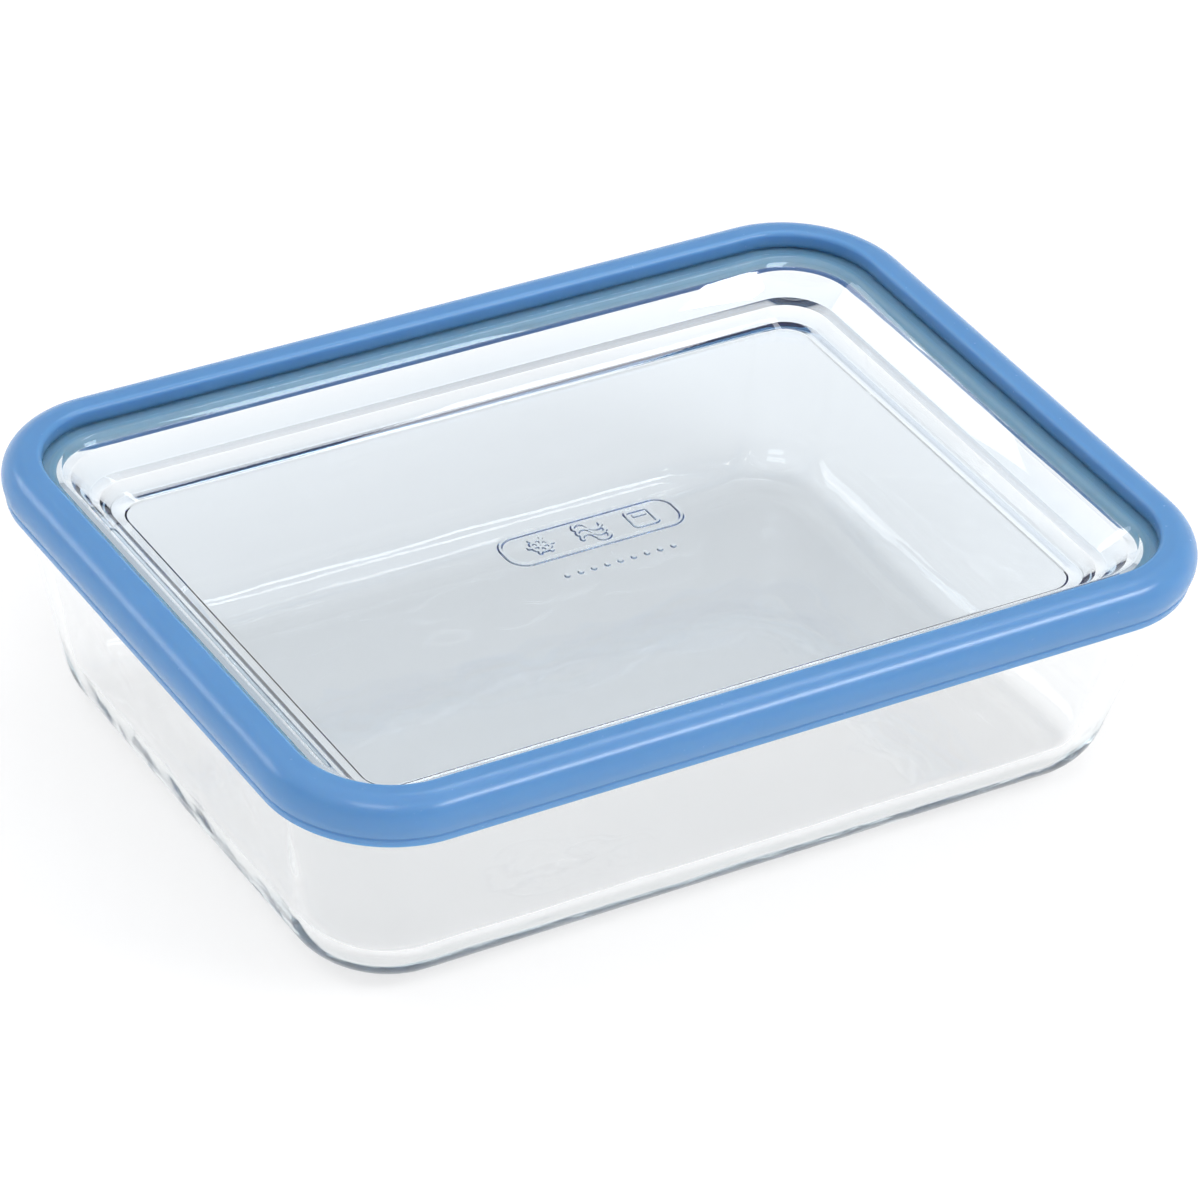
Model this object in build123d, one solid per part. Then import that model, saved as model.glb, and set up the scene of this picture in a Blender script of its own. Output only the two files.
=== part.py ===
from build123d import *
import os

# A rectangular glass storage container with its lid on, in millimetres. The frame's origin is the
# middle of the dish's foot, +X runs along the length and +Z is up. The container is three pieces:
#   glass_dish  one pressing of clear glass: flat foot, drafted walls, and a bead round the mouth
#   lid_panel   clear rigid plastic: a flange, sloping walls and the floor of a stacking recess
#   lid_rim     soft blue rubber moulded round the panel's flange: crest, skirt and seal
# Every outline is a rounded rectangle, given by how far it lies inside the lid's own outline.

# Driving dimensions
LID_LENGTH = 230.0
LID_WIDTH = 168.0
LID_CORNER = 29.0
LID_TOP = 62.0
DISH_TOP = 55.0

# Lid rim
SKIRT_BOTTOM = 50.8
SKIRT_TUCK = 1.2
SKIRT_WALL = 2.9
SKIRT_FULL = 56.5
CREST_ROUND = 5.4
CREST_INNER = 8.7
CREST_INNER_ROUND = 1.2
SKIRT_EDGE_ROUND = 0.8
SEAL_INNER = 12.0
SEAL_THICKNESS = 1.4

# Lid panel: its top side, from the flange in to the recess floor
PANEL_THICKNESS = 1.7
FLANGE_OUTER = 3.6
FLANGE_INNER = 13.0
FLANGE_TOP = DISH_TOP + SEAL_THICKNESS + PANEL_THICKNESS
WALL_BREAK = 19.3
WALL_BREAK_HEIGHT = 51.8
WALL_FOOT = 23.2
WALL_FOOT_HEIGHT = 48.6
FLOOR_EDGE = 26.4
FLOOR_CORNER = 6.0
RECESS_FLOOR = 47.4

# Mark on the underside of the recess floor
MARK_CENTRE = (2.0, 6.0)
MARK_LENGTH = 45.0
MARK_WIDTH = 11.5
MARK_CORNER = 4.6
MARK_LINE = 0.9
MARK_RELIEF = 0.4
SYMBOL_SIZE = 6.6
SYMBOL_PITCH = 13.0
DOT_COUNT = 9
DOT_PITCH = 3.4
DOT_DROP = 12.5

# Glass dish
BEAD_OUTER = 3.3
BEAD_BOTTOM = 49.4
BEAD_SLOPE = 1.2
WALL_OUTER_TOP = 4.8
WALL_OUTER_FOOT = 15.4
FOOT_CORNER = 21.0
FOOT_ROUND = 14.0
GLASS_FLOOR = 5.0
CAVITY_TOP = 9.2
CAVITY_FOOT = 19.0
CAVITY_FOOT_CORNER = 17.0
CAVITY_ROUND = 12.0
MOUTH_ROUND = 1.6


def outline(inset, height, corner=None):
    """The lid's outline drawn in by inset, as a face at a height. Its corner shrinks with it."""
    radius = LID_CORNER - inset if corner is None else corner
    length = LID_LENGTH - 2 * inset
    width = LID_WIDTH - 2 * inset
    return Pos(0, 0, height) * RectangleRounded(length, width, radius)


def stack(*levels):
    """The solid through a stack of outlines, straight from each one to the next."""
    return loft([outline(*level) for level in levels], ruled=True)


def slab(inset, bottom, top, corner=None):
    """A flat-topped block with one outline from bottom to top."""
    return extrude(outline(inset, bottom, corner), top - bottom)


def edges_at(solid, height, inset):
    """The solid's edges that lie at a height, inside the outline drawn in by inset."""
    half = LID_LENGTH / 2 - inset + 0.1
    level = [e for e in solid.edges() if abs(e.bounding_box().min.Z - height) < 0.01]
    level = [e for e in level if abs(e.bounding_box().max.Z - height) < 0.01]
    return [e for e in level if max(abs(e.bounding_box().min.X), abs(e.bounding_box().max.X)) < half]


def snowflake():
    """Six bars about a point: for the freezer."""
    bar = Rectangle(SYMBOL_SIZE, MARK_LINE)
    tick = Pos(SYMBOL_SIZE * 0.3, 0) * Rectangle(MARK_LINE, SYMBOL_SIZE * 0.36)
    arms = [Rot(0, 0, 60 * turn) * bar for turn in range(3)]
    ticks = [Rot(0, 0, 60 * turn) * tick for turn in range(6)]
    flake = arms[0]
    for piece in arms[1:] + ticks:
        flake += piece
    return flake


def waves():
    """Three wavy lines: for the microwave oven."""
    half = SYMBOL_SIZE / 4
    outer = Circle(half + MARK_LINE / 2) - Circle(half - MARK_LINE / 2)
    box = Rectangle(2 * SYMBOL_SIZE, SYMBOL_SIZE)
    crest = outer - Pos(0, -SYMBOL_SIZE / 2) * box
    trough = outer - Pos(0, SYMBOL_SIZE / 2) * box
    wave = Pos(-half, 0) * crest + Pos(half, 0) * trough
    rows = [Pos(0, row * MARK_LINE * 2.3) * wave for row in (-1, 0, 1)]
    return rows[0] + rows[1] + rows[2]


def oven():
    """A square window with a heating bar above it: for the oven."""
    frame = RectangleRounded(SYMBOL_SIZE, SYMBOL_SIZE, 1.2)
    frame -= RectangleRounded(SYMBOL_SIZE - 2 * MARK_LINE, SYMBOL_SIZE - 2 * MARK_LINE, 0.5)
    bar = Pos(0, SYMBOL_SIZE * 0.16) * Rectangle(SYMBOL_SIZE * 0.5, MARK_LINE)
    return frame + bar


def make_mark():
    """A framed row of care symbols with a row of dots under it, raised below the recess floor."""
    frame = RectangleRounded(MARK_LENGTH, MARK_WIDTH, MARK_CORNER)
    frame -= RectangleRounded(
        MARK_LENGTH - 2 * MARK_LINE, MARK_WIDTH - 2 * MARK_LINE, MARK_CORNER - MARK_LINE
    )
    pieces = [frame, Pos(-SYMBOL_PITCH, 0) * snowflake(), waves(), Pos(SYMBOL_PITCH, 0) * oven()]
    for number in range(DOT_COUNT):
        along = (number - (DOT_COUNT - 1) / 2) * DOT_PITCH
        pieces.append(Pos(along, -DOT_DROP) * Circle(MARK_LINE * 0.6))
    underside = RECESS_FLOOR - PANEL_THICKNESS
    place = Pos(MARK_CENTRE[0], MARK_CENTRE[1], underside - MARK_RELIEF)
    return [extrude(place * piece, MARK_RELIEF + 0.2) for piece in pieces]


def make_glass_dish():
    """The pressed dish: outside, bead and foot, less the cavity."""
    wall = stack((WALL_OUTER_FOOT, 0, FOOT_CORNER), (WALL_OUTER_TOP, BEAD_BOTTOM))
    foot = edges_at(wall, 0, 0)
    wall = fillet(foot, FOOT_ROUND)
    bead = stack(
        (WALL_OUTER_TOP, BEAD_BOTTOM),
        (BEAD_OUTER, BEAD_BOTTOM + BEAD_SLOPE),
        (BEAD_OUTER, DISH_TOP),
    )
    bead = fillet(edges_at(bead, DISH_TOP, 0), MOUTH_ROUND)
    cavity = stack((CAVITY_FOOT, GLASS_FLOOR, CAVITY_FOOT_CORNER), (CAVITY_TOP, DISH_TOP))
    cavity = fillet(edges_at(cavity, GLASS_FLOOR, 0), CAVITY_ROUND)
    dish = wall + bead - cavity
    return fillet(edges_at(dish, DISH_TOP, CAVITY_TOP), MOUTH_ROUND)


def recess_corner(inset):
    """The recess's corner radius, which tightens evenly from the flange to the floor."""
    share = (inset - FLANGE_INNER) / (FLOOR_EDGE - FLANGE_INNER)
    outer = LID_CORNER - FLANGE_INNER
    return outer + (FLOOR_CORNER - outer) * share


def underside(profile, thickness):
    """The inner points of a profile moved down and outward, square to its spans."""
    moved = []
    for before, here, after in zip(profile, profile[1:], profile[2:]):
        first = Vector(here[1] - before[1], before[0] - here[0]).normalized()
        second = Vector(after[1] - here[1], here[0] - after[0]).normalized()
        step = (first + second) * (thickness / (1 + first.dot(second)))
        moved.append((here[0] + step.X, here[1] + step.Y))
    return moved


def make_lid_panel():
    """The clear panel: flange, wall in two slopes, bevel and recess floor."""
    flange_bottom = FLANGE_TOP - PANEL_THICKNESS
    top = [
        (FLANGE_OUTER, FLANGE_TOP),
        (FLANGE_INNER, FLANGE_TOP),
        (WALL_BREAK, WALL_BREAK_HEIGHT),
        (WALL_FOOT, WALL_FOOT_HEIGHT),
        (FLOOR_EDGE, RECESS_FLOOR),
        (LID_WIDTH / 2, RECESS_FLOOR),
    ]
    below = underside(top, PANEL_THICKNESS)
    flange = slab(FLANGE_OUTER, flange_bottom, FLANGE_TOP)
    tub = stack(*[(inset, height, recess_corner(inset)) for inset, height in reversed(below)])
    recess = stack(*[(inset, height, recess_corner(inset)) for inset, height in reversed(top[1:-1])])
    panel = flange + tub - recess
    for piece in make_mark():
        panel += piece
    return panel


def make_lid_rim(panel):
    """The soft rim: crest over the flange, seal under it and skirt outside the glass bead."""
    seal_top = DISH_TOP + SEAL_THICKNESS
    rim = stack((SKIRT_TUCK, SKIRT_BOTTOM), (0, SKIRT_FULL), (0, LID_TOP))
    rim = fillet(edges_at(rim, LID_TOP, 0), CREST_ROUND)
    rim -= slab(SKIRT_WALL, SKIRT_BOTTOM, DISH_TOP)
    rim -= slab(SEAL_INNER, DISH_TOP, seal_top)
    rim -= slab(CREST_INNER, seal_top, LID_TOP)
    rim = fillet(edges_at(rim, LID_TOP, CREST_INNER), CREST_INNER_ROUND)
    rim = fillet(edges_at(rim, SKIRT_BOTTOM, 0), SKIRT_EDGE_ROUND)
    return rim - panel


def main():
    os.makedirs("parts", exist_ok=True)
    panel = make_lid_panel()
    nodes = {
        "glass_dish": make_glass_dish(),
        "lid_panel": panel,
        "lid_rim": make_lid_rim(panel),
    }
    for name, solid in nodes.items():
        export_step(solid, f"parts/{name}.step")


main()
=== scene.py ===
import math

import bmesh
import bpy
from mathutils import Matrix, Vector, noise


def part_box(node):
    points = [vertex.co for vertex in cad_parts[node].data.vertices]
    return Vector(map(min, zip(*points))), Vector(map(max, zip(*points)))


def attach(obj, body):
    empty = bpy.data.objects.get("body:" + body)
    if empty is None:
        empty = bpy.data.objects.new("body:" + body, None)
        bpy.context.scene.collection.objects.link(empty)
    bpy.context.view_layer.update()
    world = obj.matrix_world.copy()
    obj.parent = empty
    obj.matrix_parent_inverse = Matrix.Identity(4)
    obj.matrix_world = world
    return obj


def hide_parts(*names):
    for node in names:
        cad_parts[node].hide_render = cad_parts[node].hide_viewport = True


# A glass storage container with its lid on. Three pieces are made here, each in the place of its
# CAD node: the pressed glass dish, the clear lid panel and the soft blue rim moulded round it.
# Profiles are in millimetres: how far a point lies inside the lid's outline, and its height.

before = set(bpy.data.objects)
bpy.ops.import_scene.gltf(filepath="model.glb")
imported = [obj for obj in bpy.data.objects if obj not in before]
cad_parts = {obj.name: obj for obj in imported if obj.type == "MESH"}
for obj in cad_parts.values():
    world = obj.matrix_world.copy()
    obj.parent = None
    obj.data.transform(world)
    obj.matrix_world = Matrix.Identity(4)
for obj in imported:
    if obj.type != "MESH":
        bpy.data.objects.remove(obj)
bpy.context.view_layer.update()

MM = 0.001
rim_low, rim_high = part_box("lid_rim")
panel_low, panel_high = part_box("lid_panel")
dish_low, dish_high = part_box("glass_dish")

# Sizes read from the frame
HALF_LENGTH = rim_high.x / MM
HALF_WIDTH = rim_high.y / MM
LID_TOP = rim_high.z / MM
SKIRT_BOTTOM = rim_low.z / MM
DISH_TOP = dish_high.z / MM
BEAD_OUTER = HALF_LENGTH - dish_high.x / MM
FLANGE_OUTER = HALF_LENGTH - panel_high.x / MM
FLANGE_TOP = panel_high.z / MM
MARK_BOTTOM = panel_low.z / MM

# Sizes of the lid's details, in millimetres
LID_CORNER = 29.0
MARK_RELIEF = 0.4
PANEL_THICKNESS = 1.7
UNDER_FLOOR = MARK_BOTTOM + MARK_RELIEF
RECESS_FLOOR = UNDER_FLOOR + PANEL_THICKNESS
FLANGE_BOTTOM = FLANGE_TOP - PANEL_THICKNESS
SKIRT_TUCK = 1.2
SKIRT_WALL = 2.9
CREST_ROUND = 5.6
CREST_INNER = 8.7
SEAL_INNER = 12.0
BOND_GAP = 0.03
GROOVE_RISE = 2.3
GROOVE_HALF = 0.5
GROOVE_DEPTH = 0.3
# Where the seal is painted a lighter blue: painted light, for the light that shines through its
# thin rubber
SEAL_PAINTED_LIGHT_TOP = FLANGE_BOTTOM + 0.1
SEAL_PAINTED_LIGHT_OUTER = SKIRT_WALL + 1.5

# Sizes of the dish's details
FOOT_INSET = 15.4
FOOT_CORNER = 21.0
FOOT_ROUND = 14.0
WALL_TOP_INSET = 4.8
BEAD_BOTTOM = 49.4
BEAD_FULL = 50.6
MOUTH_ROUND = 1.6
CAVITY_TOP_INSET = 9.2
CAVITY_FOOT_INSET = 19.0
CAVITY_FOOT_CORNER = 17.0
CAVITY_ROUND = 12.0
GLASS_FLOOR = 5.0
GLASS_RIPPLE = 0.26

# How far in a profile runs across a flat floor, before rings of the same height fill the middle
FOOT_FLAT = 34.0
CAVITY_FLAT = 42.0
PANEL_FLAT = 40.0

# The recess's top side and underside, from the floor's edge up to the flange, each point as
# (height, inset, corner), and the radius of the profile's bend at each point
RECESS_TOP = ((47.4, 26.4, 6.0), (48.6, 23.2, 8.4), (51.8, 19.3, 11.3), (58.1, 13.0, 16.0))
TOP_ROUNDS = (0.8, 0.9, 1.2, 0.9)
RECESS_UNDER = (
    (45.7, 26.3, 6.1),
    (46.4, 25.8, 6.5),
    (46.4, 22.8, 8.7),
    (49.7, 20.5, 10.4),
    (50.1, 17.9, 12.3),
    (55.0, 14.4, 15.0),
    (56.4, 10.4, 18.6),
)
UNDER_ROUNDS = (0.1, 0.1, 0.4, 0.4, 0.4, 0.8, 0.8)

# The mark under the recess floor
MARK_CENTRE = (2.0, 6.0)
MARK_LENGTH = 45.0
MARK_WIDTH = 11.5
MARK_CORNER = 4.6
MARK_LINE = 0.9
SYMBOL_SIZE = 6.6
SYMBOL_PITCH = 13.0
DOT_COUNT = 9
DOT_PITCH = 3.4
DOT_DROP = 12.5
MARK_EDGE = 0.3
PATCH_LOW = (-23.0, -9.5)
PATCH_CELLS = (200, 94)
PATCH_CELL = 0.25

# How finely the meshes are made
CORNER_STEPS = 24
HALF_SIDE_STEPS = 22
ARC_STEP = math.radians(8)
CREST_STEPS = 16
FLOOR_RINGS = 26
CLEAR_SPAN = 2.5
RUBBER_SPAN = 1.2


def rounded(corners):
    """Points along a profile whose corners are (inset, height, radius), each corner as an arc."""
    points = []
    for number, (inset, height, radius) in enumerate(corners):
        here = Vector((inset, height))
        if radius == 0:
            points.append(here)
            continue
        before = Vector(corners[number - 1][:2])
        after = Vector(corners[(number + 1) % len(corners)][:2])
        back = (before - here).normalized()
        ahead = (after - here).normalized()
        half = back.angle(ahead) / 2
        centre = here + (back + ahead).normalized() * (radius / math.sin(half))
        start = here + back * (radius / math.tan(half)) - centre
        end = here + ahead * (radius / math.tan(half)) - centre
        turn = start.angle_signed(end)
        steps = max(2, math.ceil(abs(turn) / ARC_STEP))
        for step in range(steps + 1):
            angle = -turn * step / steps
            points.append(centre + Matrix.Rotation(angle, 2) @ start)
    return points


def refined(points, longest, closed=False):
    """The same profile with its long straight spans cut into shorter ones."""
    spans = list(zip(points, points[1:] + points[:1]))
    if not closed:
        spans = spans[:-1]
    found = []
    for start, end in spans:
        pieces = max(1, math.ceil((end - start).length / longest))
        found += [start.lerp(end, piece / pieces) for piece in range(pieces)]
    return found if closed else found + [points[-1]]


def corner_law(*walls):
    """The plan corner radius at a profile point, from wall points (height, inset, corner)."""

    def corner(inset, height):
        low, high = walls[0], walls[-1]
        for first, second in zip(walls, walls[1:]):
            if first[0] <= height <= second[0]:
                low, high = first, second
        span = high[0] - low[0]
        share = min(max((height - low[0]) / span, 0), 1) if span else 0
        wall_inset = low[1] + share * (high[1] - low[1])
        wall_corner = low[2] + share * (high[2] - low[2])
        return max(wall_corner - (inset - wall_inset), 0.4)

    return corner


def plain_corner(inset, height):
    """The lid's own corner, which shrinks by as much as the outline is drawn in."""
    return LID_CORNER - inset


def rounded_rectangle(half_x, half_y, corner, height):
    """A ring of points, the same number on every ring, starting at the middle of the +X side."""
    quarter = []
    for step in range(HALF_SIDE_STEPS):
        quarter.append((half_x, (half_y - corner) * step / HALF_SIDE_STEPS))
    for step in range(CORNER_STEPS):
        angle = math.pi / 2 * step / CORNER_STEPS
        x = half_x - corner + corner * math.cos(angle)
        y = half_y - corner + corner * math.sin(angle)
        quarter.append((x, y))
    for step in range(HALF_SIDE_STEPS + 1):
        quarter.append(((half_x - corner) * (1 - step / HALF_SIDE_STEPS), half_y))
    back = quarter[:0:-1]
    outline = quarter[:-1]
    outline += [(-x, y) for x, y in back]
    outline += [(-x, -y) for x, y in quarter[:-1]]
    outline += [(x, -y) for x, y in back]
    return [Vector((x, y, height)) for x, y in outline]


def ring(point, corner):
    """The ring of the lid's outline at one profile point."""
    inset, height = point
    return rounded_rectangle(HALF_LENGTH - inset, HALF_WIDTH - inset, corner(inset, height), height)


def floor_rings(point, corner):
    """Rings from a profile point in to the middle of a flat floor, ending along its long axis."""
    inset, height = point
    half_x, half_y = HALF_LENGTH - inset, HALF_WIDTH - inset
    start = corner(inset, height)
    thin = 0.4
    rings = []
    for step in range(1, FLOOR_RINGS + 1):
        share = step / FLOOR_RINGS
        shrink = (half_y - thin) * share
        radius = start + (thin - start) * share
        rings.append(rounded_rectangle(half_x - shrink, half_y - shrink, radius, height))
    return rings


def zip_shut(faces, first, count):
    """Closes the innermost floor ring across the long axis."""
    half = count // 2
    faces.append((first, first + 1, first + count - 1))
    for step in range(1, half - 1):
        left, right = first + step, first + count - step
        faces.append((left, left + 1, right - 1, right))
    faces.append((first + half - 1, first + half, first + half + 1))


def skin(rings, shut_start=False, shut_end=False, closed=False):
    """Vertices and faces of the surface through the rings."""
    count = len(rings[0])
    vertices = [point for one in rings for point in one]
    faces = []
    spans = len(rings) if closed else len(rings) - 1
    for level in range(spans):
        low, high = level * count, (level + 1) % len(rings) * count
        for step in range(count):
            after = (step + 1) % count
            faces.append((low + step, low + after, high + after, high + step))
    if shut_start:
        zip_shut(faces, 0, count)
    if shut_end:
        zip_shut(faces, (len(rings) - 1) * count, count)
    return vertices, faces


def make_piece(name, vertices, faces, material, body, node):
    """A mesh object in metres that stands for a CAD node and moves with its body."""
    mesh = bpy.data.meshes.new(name)
    mesh.from_pydata([tuple(point * MM) for point in vertices], [], faces)
    work = bmesh.new()
    work.from_mesh(mesh)
    bmesh.ops.remove_doubles(work, verts=work.verts, dist=1e-7)
    bmesh.ops.recalc_face_normals(work, faces=work.faces)
    work.to_mesh(mesh)
    work.free()
    mesh.shade_smooth()
    mesh.materials.append(material)
    piece = bpy.data.objects.new(name, mesh)
    bpy.context.scene.collection.objects.link(piece)
    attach(piece, body)
    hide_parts(node)
    return piece


# ---------------------------------------------------------------- materials


def new_material(name):
    """A material with its node tree and its Principled shader."""
    material = bpy.data.materials.new(name)
    material.use_nodes = True
    tree = material.node_tree
    return material, tree, tree.nodes["Principled BSDF"]


def noise_node(tree, scale, detail):
    """Noise that is fixed to the object."""
    place = tree.nodes.new("ShaderNodeTexCoord")
    pattern = tree.nodes.new("ShaderNodeTexNoise")
    pattern.inputs["Scale"].default_value = scale
    pattern.inputs["Detail"].default_value = detail
    tree.links.new(place.outputs["Object"], pattern.inputs["Vector"])
    return pattern


def spread(tree, source, low, high):
    """Maps a 0 to 1 value on to a range."""
    node = tree.nodes.new("ShaderNodeMapRange")
    node.inputs["To Min"].default_value = low
    node.inputs["To Max"].default_value = high
    tree.links.new(source, node.inputs["Value"])
    return node.outputs["Result"]


def bump(tree, source, shader, strength, distance):
    """Fine relief in the shader's normal."""
    node = tree.nodes.new("ShaderNodeBump")
    node.inputs["Strength"].default_value = strength
    node.inputs["Distance"].default_value = distance
    tree.links.new(source, node.inputs["Height"])
    tree.links.new(node.outputs["Normal"], shader.inputs["Normal"])


def absorb(tree, colour, density):
    """Tints light by how far it travels inside the material."""
    node = tree.nodes.new("ShaderNodeVolumeAbsorption")
    node.inputs["Color"].default_value = (*colour, 1)
    node.inputs["Density"].default_value = density
    tree.links.new(node.outputs["Volume"], tree.nodes["Material Output"].inputs["Volume"])


def glass_material():
    material, tree, shader = new_material("clear_glass")
    shader.inputs["Base Color"].default_value = (1, 1, 1, 1)
    shader.inputs["Transmission Weight"].default_value = 1
    shader.inputs["IOR"].default_value = 1.473
    smear = noise_node(tree, 18, 4)
    tree.links.new(spread(tree, smear.outputs["Fac"], 0.0, 0.012), shader.inputs["Roughness"])
    ripple = noise_node(tree, 45, 2)
    bump(tree, ripple.outputs["Fac"], shader, 0.05, 0.001)
    absorb(tree, (0.62, 0.80, 0.86), 5)
    return material


def plastic_material():
    material, tree, shader = new_material("clear_plastic")
    shader.inputs["Base Color"].default_value = (1, 1, 1, 1)
    shader.inputs["Transmission Weight"].default_value = 1
    shader.inputs["IOR"].default_value = 1.5
    haze = noise_node(tree, 60, 5)
    tree.links.new(spread(tree, haze.outputs["Fac"], 0.0, 0.02), shader.inputs["Roughness"])
    ripple = noise_node(tree, 30, 1)
    bump(tree, ripple.outputs["Fac"], shader, 0.03, 0.001)
    absorb(tree, (0.46, 0.68, 0.84), 125)
    return material


def rubber_material():
    material, tree, shader = new_material("soft_blue_rim")
    mottle = noise_node(tree, 55, 4)
    tint = tree.nodes.new("ShaderNodeMix")
    tint.data_type = "RGBA"
    tint.inputs["A"].default_value = (0.092, 0.255, 0.50, 1)
    tint.inputs["B"].default_value = (0.105, 0.275, 0.53, 1)
    tree.links.new(mottle.outputs["Fac"], tint.inputs["Factor"])
    # Painted light: where the 'thin' attribute marks the seal, the blue is mixed towards a lighter
    # blue that stands in for light shining through the thin rubber
    thin = tree.nodes.new("ShaderNodeAttribute")
    thin.attribute_name = "thin"
    seal_painted_light = tree.nodes.new("ShaderNodeMix")
    seal_painted_light.data_type = "RGBA"
    seal_painted_light.inputs["B"].default_value = (0.36, 0.55, 0.78, 1)
    tree.links.new(thin.outputs["Fac"], seal_painted_light.inputs["Factor"])
    tree.links.new(tint.outputs["Result"], seal_painted_light.inputs["A"])
    tree.links.new(seal_painted_light.outputs["Result"], shader.inputs["Base Color"])
    shader.inputs["Subsurface Weight"].default_value = 0.9
    shader.inputs["Subsurface Radius"].default_value = (0.5, 0.8, 1.0)
    shader.inputs["Subsurface Scale"].default_value = 0.006
    grain = noise_node(tree, 900, 3)
    tree.links.new(spread(tree, grain.outputs["Fac"], 0.20, 0.30), shader.inputs["Roughness"])
    bump(tree, grain.outputs["Fac"], shader, 0.12, 0.00008)
    return material


# ---------------------------------------------------------------- glass dish


def rippled(point, amount):
    """A point of pressed glass, moved by the slow waves that pressing leaves."""
    slow = noise.noise_vector(point * 0.045)
    quick = noise.noise_vector(point * 0.13 + Vector((7.0, 3.0, 1.0)))
    return point + (slow + quick * 0.35) * amount


def make_dish():
    """The pressed dish: foot, drafted outside, bead, mouth and a softly rippled cavity."""
    wall_top = (BEAD_BOTTOM, WALL_TOP_INSET, LID_CORNER - WALL_TOP_INSET)
    outside = corner_law((0, FOOT_INSET, FOOT_CORNER), wall_top)
    bead = corner_law(wall_top, (BEAD_FULL, BEAD_OUTER, LID_CORNER - BEAD_OUTER))
    inside = corner_law(
        (GLASS_FLOOR, CAVITY_FOOT_INSET, CAVITY_FOOT_CORNER),
        (DISH_TOP, CAVITY_TOP_INSET, LID_CORNER - CAVITY_TOP_INSET),
    )
    outer = rounded([
        (FOOT_FLAT, 0, 0),
        (FOOT_INSET, 0, FOOT_ROUND),
        (WALL_TOP_INSET, BEAD_BOTTOM, 0.5),
        (BEAD_OUTER, BEAD_FULL, 0.8),
        (BEAD_OUTER, DISH_TOP, MOUTH_ROUND),
        (6.0, DISH_TOP, 0),
    ])
    inner = rounded([
        (6.2, DISH_TOP, 0),
        (CAVITY_TOP_INSET, DISH_TOP, MOUTH_ROUND),
        (CAVITY_FOOT_INSET, GLASS_FLOOR, CAVITY_ROUND),
        (CAVITY_FLAT, GLASS_FLOOR, 0),
    ])
    outer = refined(outer, CLEAR_SPAN)
    inner = refined(inner, CLEAR_SPAN)
    rings = floor_rings(outer[0], outside)[::-1]
    rings += [ring(point, outside if point.y < BEAD_BOTTOM else bead) for point in outer]
    # The mouth stays true, and the ripple sets in over the next few rings of the cavity.
    still = len(rings) + 5
    rings += [ring(point, inside if point.y < DISH_TOP - 0.01 else plain_corner) for point in inner]
    rings += floor_rings(inner[-1], inside)
    noise.seed_set(4)
    for number in range(still, len(rings)):
        amount = GLASS_RIPPLE * min(1, (number - still) / 4)
        rings[number] = [rippled(point, amount) for point in rings[number]]
    vertices, faces = skin(rings, shut_start=True, shut_end=True)
    return make_piece(
        "glass_dish_pressed", vertices, faces, glass_material(), "dish", "glass_dish"
    )


# ---------------------------------------------------------------- lid panel


def box_distance(x, y, half_x, half_y, corner):
    """How far a point is outside a rounded rectangle round the origin; negative inside."""
    over_x, over_y = abs(x) - half_x + corner, abs(y) - half_y + corner
    outside = math.hypot(max(over_x, 0), max(over_y, 0))
    return outside + min(max(over_x, over_y), 0) - corner


def snowflake_distance(x, y):
    """How far a point is from a six-armed snowflake with a short bar across each arm."""
    near = math.inf
    for turn in range(6):
        angle = math.radians(60 * turn)
        along = x * math.cos(angle) + y * math.sin(angle)
        across = y * math.cos(angle) - x * math.sin(angle)
        arm = box_distance(along - SYMBOL_SIZE / 4, across, SYMBOL_SIZE / 4, MARK_LINE / 2, 0.1)
        bar_at, bar_half = SYMBOL_SIZE * 0.3, SYMBOL_SIZE * 0.18
        tick = box_distance(along - bar_at, across, MARK_LINE / 2, bar_half, 0.1)
        near = min(near, arm, tick)
    return near


def waves_distance(x, y):
    """How far a point is from three waves, one above the other, each of two half circles."""
    half = SYMBOL_SIZE / 4
    side = -1 if x < 0 else 1
    near = math.inf
    for row in (-1, 0, 1):
        from_x, from_y = x - side * half, y - row * MARK_LINE * 2.3
        if from_y * side <= 0:
            away = abs(math.hypot(from_x, from_y) - half)
        else:
            away = min(math.hypot(from_x - half, from_y), math.hypot(from_x + half, from_y))
        near = min(near, away - MARK_LINE / 2)
    return near


def oven_distance(x, y):
    """How far a point is from a rounded square outline with a bar in it."""
    half = SYMBOL_SIZE / 2 - MARK_LINE / 2
    frame_line = abs(box_distance(x, y, half, half, 0.8))
    bar = box_distance(x, y - SYMBOL_SIZE * 0.16, SYMBOL_SIZE * 0.25, MARK_LINE / 2, 0.1)
    return min(frame_line - MARK_LINE / 2, bar)


def mark_depth(x, y):
    """How far the mark stands out below the recess floor's underside at a point."""
    x, y = x - MARK_CENTRE[0], y - MARK_CENTRE[1]
    half_line = MARK_LINE / 2
    border = box_distance(
        x, y, MARK_LENGTH / 2 - half_line, MARK_WIDTH / 2 - half_line, MARK_CORNER - half_line
    )
    near = abs(border) - half_line
    if border < 0:
        near = min(near, snowflake_distance(x + SYMBOL_PITCH, y))
        near = min(near, waves_distance(x, y), oven_distance(x - SYMBOL_PITCH, y))
    if y < -MARK_WIDTH / 2:
        for number in range(DOT_COUNT):
            along = (number - (DOT_COUNT - 1) / 2) * DOT_PITCH
            near = min(near, math.hypot(x - along, y + DOT_DROP) - MARK_LINE * 0.6)
    share = min(max(0.5 - near / MARK_EDGE, 0), 1)
    return MARK_RELIEF * share * share * (3 - 2 * share)


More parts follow.
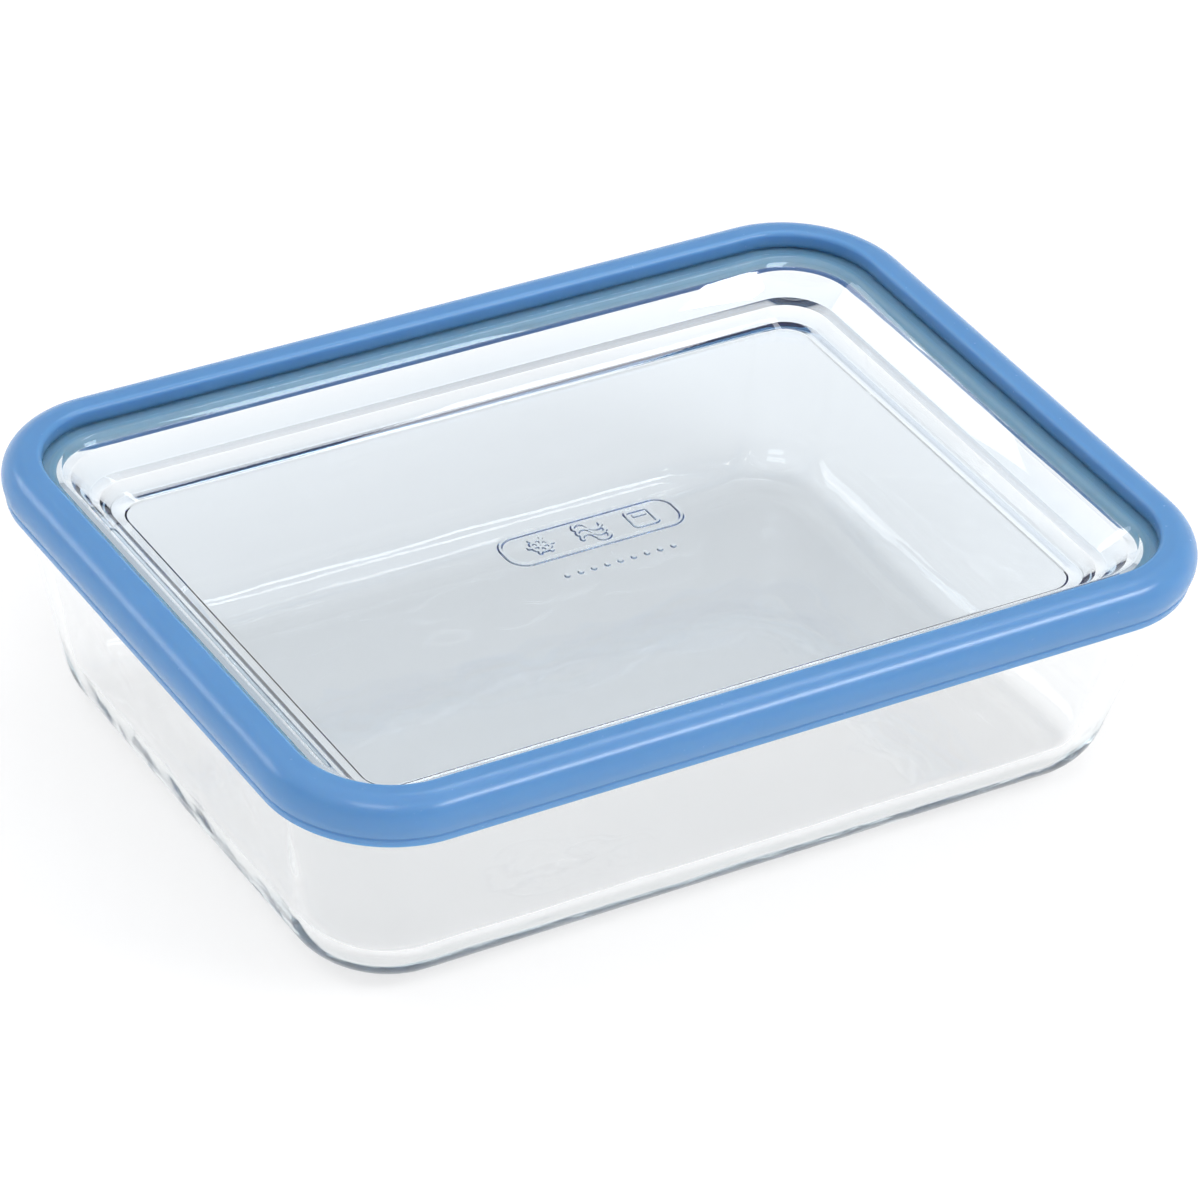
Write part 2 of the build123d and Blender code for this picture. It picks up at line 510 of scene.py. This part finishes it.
def stitch(vertices, faces, outer, inner):
    """Joins two loops that both go once round the mark, with a triangle for every span of each."""
    middle_x, middle_y = MARK_CENTRE

    def turned(loop):
        places = [vertices[number] for number in loop]
        angles = [math.atan2(place.y - middle_y, place.x - middle_x) for place in places]
        first = angles.index(min(angles))
        order = loop[first:] + loop[:first]
        return order + order[:1], angles[first:] + angles[:first] + [math.tau]

    outer, outer_angles = turned(outer)
    inner, inner_angles = turned(inner)
    here, there = 0, 0
    while here < len(outer) - 1 or there < len(inner) - 1:
        step_out = there == len(inner) - 1
        if not step_out and here < len(outer) - 1:
            step_out = outer_angles[here + 1] <= inner_angles[there + 1]
        if step_out:
            faces.append((outer[here], outer[here + 1], inner[there]))
            here += 1
        else:
            faces.append((outer[here], inner[there + 1], inner[there]))
            there += 1


def marked_floor(vertices, faces, border):
    """The underside inside a ring: a fine patch that carries the mark, and the flat round it."""
    across, up = PATCH_CELLS
    first = len(vertices)
    for row in range(up + 1):
        for column in range(across + 1):
            x = PATCH_LOW[0] + column * PATCH_CELL
            y = PATCH_LOW[1] + row * PATCH_CELL
            vertices.append(Vector((x, y, UNDER_FLOOR - mark_depth(x, y))))
    for row in range(up):
        for column in range(across):
            low = first + row * (across + 1) + column
            high = low + across + 1
            faces.append((low, low + 1, high + 1, high))
    edge = [first + column for column in range(across)]
    edge += [first + row * (across + 1) + across for row in range(up)]
    edge += [first + up * (across + 1) + column for column in range(across, 0, -1)]
    edge += [first + row * (across + 1) for row in range(up, 0, -1)]
    stitch(vertices, faces, border, edge)


def bends(wall, rounds):
    """A wall's points as the corners of a profile, (inset, height, radius)."""
    return [(inset, height, radius) for (height, inset, _), radius in zip(wall, rounds)]


def make_panel():
    """The clear panel: flange, wall in two slopes, bevel, recess floor and the mark under it."""
    top_law = corner_law(*RECESS_TOP)
    under_law = corner_law(*RECESS_UNDER)
    under = [(PANEL_FLAT, UNDER_FLOOR, 0)] + bends(RECESS_UNDER, UNDER_ROUNDS)
    under += [
        (FLANGE_OUTER, FLANGE_BOTTOM, 0.3),
        (FLANGE_OUTER, FLANGE_TOP, 0.3),
        (8.0, FLANGE_TOP, 0),
    ]
    top = [(8.2, FLANGE_TOP, 0)] + bends(RECESS_TOP, TOP_ROUNDS)[::-1]
    top += [(PANEL_FLAT, RECESS_FLOOR, 0)]
    under = refined(rounded(under), CLEAR_SPAN)
    top = refined(rounded(top), CLEAR_SPAN)
    under_edge = RECESS_UNDER[-1][1]
    top_edge = RECESS_TOP[-1][1] - 0.1
    rings = [ring(point, under_law if point.x > under_edge else plain_corner) for point in under]
    rings += [ring(point, top_law if point.x > top_edge else plain_corner) for point in top]
    rings += floor_rings(top[-1], top_law)
    vertices, faces = skin(rings, shut_end=True)
    marked_floor(vertices, faces, list(range(len(rings[0]))))
    return make_piece(
        "lid_panel_clear", vertices, faces, plastic_material(), "lid", "lid_panel"
    )


# ---------------------------------------------------------------- lid rim


def crest_arc():
    """The rim's round shoulder, from where the skirt's straight side meets it up to the crest."""
    centre = Vector((CREST_ROUND, LID_TOP - CREST_ROUND))
    reach = Vector((SKIRT_TUCK, SKIRT_BOTTOM)) - centre
    lean = math.atan2(reach.y, reach.x) % math.tau - math.acos(CREST_ROUND / reach.length)
    sweep = math.pi / 2 - lean
    angles = [lean + sweep * step / CREST_STEPS for step in range(CREST_STEPS + 1)]
    return [
        (centre.x + CREST_ROUND * math.cos(angle), centre.y + CREST_ROUND * math.sin(angle), 0)
        for angle in angles
    ]


def make_rim():
    """The soft rim: skirt with a parting groove, shoulder, crest, flange groove and seal."""
    groove = SKIRT_BOTTOM + GROOVE_RISE
    lean = SKIRT_TUCK / (LID_TOP - CREST_ROUND - SKIRT_BOTTOM)
    at_groove = SKIRT_TUCK - GROOVE_RISE * lean
    profile = [
        (SKIRT_TUCK, SKIRT_BOTTOM, 0.7),
        (at_groove + GROOVE_HALF * lean, groove - GROOVE_HALF, 0.2),
        (at_groove + GROOVE_DEPTH, groove, 0.15),
        (at_groove - GROOVE_HALF * lean, groove + GROOVE_HALF, 0.2),
    ]
    profile += crest_arc()
    profile += [
        (CREST_INNER, LID_TOP, 1.2),
        (CREST_INNER, FLANGE_TOP + BOND_GAP, 0),
        (FLANGE_OUTER - BOND_GAP, FLANGE_TOP + BOND_GAP, 0),
        (FLANGE_OUTER - BOND_GAP, FLANGE_BOTTOM - BOND_GAP, 0),
        (SEAL_INNER, FLANGE_BOTTOM - BOND_GAP, 0),
        (SEAL_INNER, DISH_TOP, 0.4),
        (SKIRT_WALL, DISH_TOP, 0.6),
        (SKIRT_WALL, SKIRT_BOTTOM, 0.7),
    ]
    profile = refined(rounded(profile), RUBBER_SPAN, closed=True)
    vertices, faces = skin([ring(point, plain_corner) for point in profile], closed=True)
    piece = make_piece(
        "lid_rim_soft", vertices, faces, rubber_material(), "lid", "lid_rim"
    )
    # Painted light: the seal under the flange is painted a lighter blue, standing in for the light
    # that shines through its thin rubber.
    in_ring = len(vertices) // len(profile)
    thin = piece.data.attributes.new("thin", "FLOAT", "POINT")
    for index, point in enumerate(profile):
        seal = point.x > SEAL_PAINTED_LIGHT_OUTER and point.y < SEAL_PAINTED_LIGHT_TOP
        for place in range(index * in_ring, (index + 1) * in_ring):
            thin.data[place].value = 1.0 if seal else 0.0
    return piece


# ---------------------------------------------------------------- camera, floor and light

CAMERA_AZIMUTH = -34.13
CAMERA_ELEVATION = 34.72
CAMERA_ROLL = 5.06
CAMERA_DISTANCE = 12.463
CAMERA_RIGHT = 0.0136
CAMERA_UP = 0.2333
CAMERA_LENS = 192.3


def make_camera():
    """A long lens at a three-quarter angle. Distances are in half lengths of the lid."""
    azimuth, elevation = math.radians(CAMERA_AZIMUTH), math.radians(CAMERA_ELEVATION)
    back = Vector((
        math.sin(azimuth) * math.cos(elevation),
        -math.cos(azimuth) * math.cos(elevation),
        math.sin(elevation),
    ))
    right = Vector((math.cos(azimuth), math.sin(azimuth), 0))
    up = back.cross(right)
    place = (back * CAMERA_DISTANCE + right * CAMERA_RIGHT + up * CAMERA_UP) * HALF_LENGTH * MM
    data = bpy.data.cameras.new("camera")
    data.lens = CAMERA_LENS
    data.sensor_width = 36
    data.clip_start = 0.05
    data.clip_end = 100
    camera = bpy.data.objects.new("camera", data)
    turn = Matrix((right, up, back)).transposed().to_4x4()
    roll = Matrix.Rotation(math.radians(CAMERA_ROLL), 4, "Z")
    camera.matrix_world = Matrix.Translation(place) @ turn @ roll
    bpy.context.scene.collection.objects.link(camera)
    bpy.context.scene.camera = camera


def make_floor():
    """A pale floor just under the foot, which glows a little, as a lit studio sweep does."""
    mesh = bpy.data.meshes.new("floor")
    half = 6.0
    drop = -0.15 * MM
    corners = [(-half, -half, drop), (half, -half, drop), (half, half, drop), (-half, half, drop)]
    mesh.from_pydata(corners, [], [(0, 1, 2, 3)])
    material, tree, shader = new_material("pale_floor")
    grain = noise_node(tree, 3, 3)
    tint = tree.nodes.new("ShaderNodeMix")
    tint.data_type = "RGBA"
    tint.inputs["A"].default_value = (0.39, 0.39, 0.39, 1)
    tint.inputs["B"].default_value = (0.41, 0.41, 0.41, 1)
    tree.links.new(grain.outputs["Fac"], tint.inputs["Factor"])
    tree.links.new(tint.outputs["Result"], shader.inputs["Base Color"])
    shader.inputs["Roughness"].default_value = 0.9
    shader.inputs["Specular IOR Level"].default_value = 0.1
    shader.inputs["Emission Color"].default_value = (1, 1, 1, 1)
    shader.inputs["Emission Strength"].default_value = 0.64
    mesh.materials.append(material)
    floor = bpy.data.objects.new("floor", mesh)
    bpy.context.scene.collection.objects.link(floor)


def area_light(name, place, target, size, power):
    """A rectangular softbox that faces a target."""
    data = bpy.data.lights.new(name, "AREA")
    data.shape = "RECTANGLE"
    data.size, data.size_y = size
    data.energy = power
    lamp = bpy.data.objects.new(name, data)
    way = Vector(target) - Vector(place)
    facing = way.to_track_quat("-Z", "Y").to_matrix().to_4x4()
    lamp.matrix_world = Matrix.Translation(place) @ facing
    bpy.context.scene.collection.objects.link(lamp)


def make_light():
    """A studio that is bright overhead and at the horizon, darker between, and four softboxes."""
    world = bpy.data.worlds.new("studio")
    bpy.context.scene.world = world
    world.use_nodes = True
    tree = world.node_tree
    sky = tree.nodes["Background"]
    place = tree.nodes.new("ShaderNodeTexCoord")
    split = tree.nodes.new("ShaderNodeSeparateXYZ")
    ramp = tree.nodes.new("ShaderNodeValToRGB")
    stops = ((0.0, 1.0), (0.28, 0.65), (0.55, 0.42), (0.88, 1.1))
    while len(ramp.color_ramp.elements) < len(stops):
        ramp.color_ramp.elements.new(0.5)
    for element, (position, level) in zip(ramp.color_ramp.elements, stops):
        element.position = position
        element.color = (level, level, level * 1.02, 1)
    tree.links.new(place.outputs["Generated"], split.inputs["Vector"])
    tree.links.new(split.outputs["Z"], ramp.inputs["Fac"])
    ahead = tree.nodes.new("ShaderNodeVectorMath")
    ahead.operation = "DOT_PRODUCT"
    ahead.inputs[1].default_value = (0.56, 0.83, 0.0)
    tree.links.new(place.outputs["Generated"], ahead.inputs[0])
    side = tree.nodes.new("ShaderNodeMapRange")
    side.interpolation_type = "SMOOTHSTEP"
    side.inputs["From Min"].default_value = -0.7
    side.inputs["From Max"].default_value = 0.35
    side.inputs["To Min"].default_value = 1.1
    side.inputs["To Max"].default_value = 1.0
    tree.links.new(ahead.outputs["Value"], side.inputs["Value"])
    shade = tree.nodes.new("ShaderNodeVectorMath")
    shade.operation = "SCALE"
    tree.links.new(ramp.outputs["Color"], shade.inputs[0])
    tree.links.new(side.outputs["Result"], shade.inputs["Scale"])
    tree.links.new(shade.outputs["Vector"], sky.inputs["Color"])
    sky.inputs["Strength"].default_value = 1.0
    middle = Vector((0, 0, 0.05))
    # Name, direction from the object's middle, distance and size in metres, power in watts
    boxes = (
        ("near_box", (0.46, -0.545, 0.655), 1.3, (0.7, 0.09), 5.2),
        ("left_box", (-0.55, 0.68, 0.44), 1.3, (0.7, 0.30), 2.4),
        ("top_box", (0.46, 0.23, 0.85), 1.3, (0.6, 0.12), 1.3),
        ("side_box", (-0.34, -0.38, 0.86), 1.4, (0.5, 0.30), 2.2),
    )
    for name, way, distance, size, power in boxes:
        area_light(name, middle + Vector(way) * distance, middle, size, power)


make_camera()
make_floor()
make_light()
make_dish()
make_panel()
make_rim()

# Light crosses many faces in the thick clear edges, which turn black with fewer bounces.
cycles = bpy.context.scene.cycles
cycles.max_bounces = 64
cycles.glossy_bounces = 64
cycles.transmission_bounces = 64
cycles.transparent_max_bounces = 32

view = bpy.context.scene.view_settings
view.view_transform = "Standard"
view.look = "None"
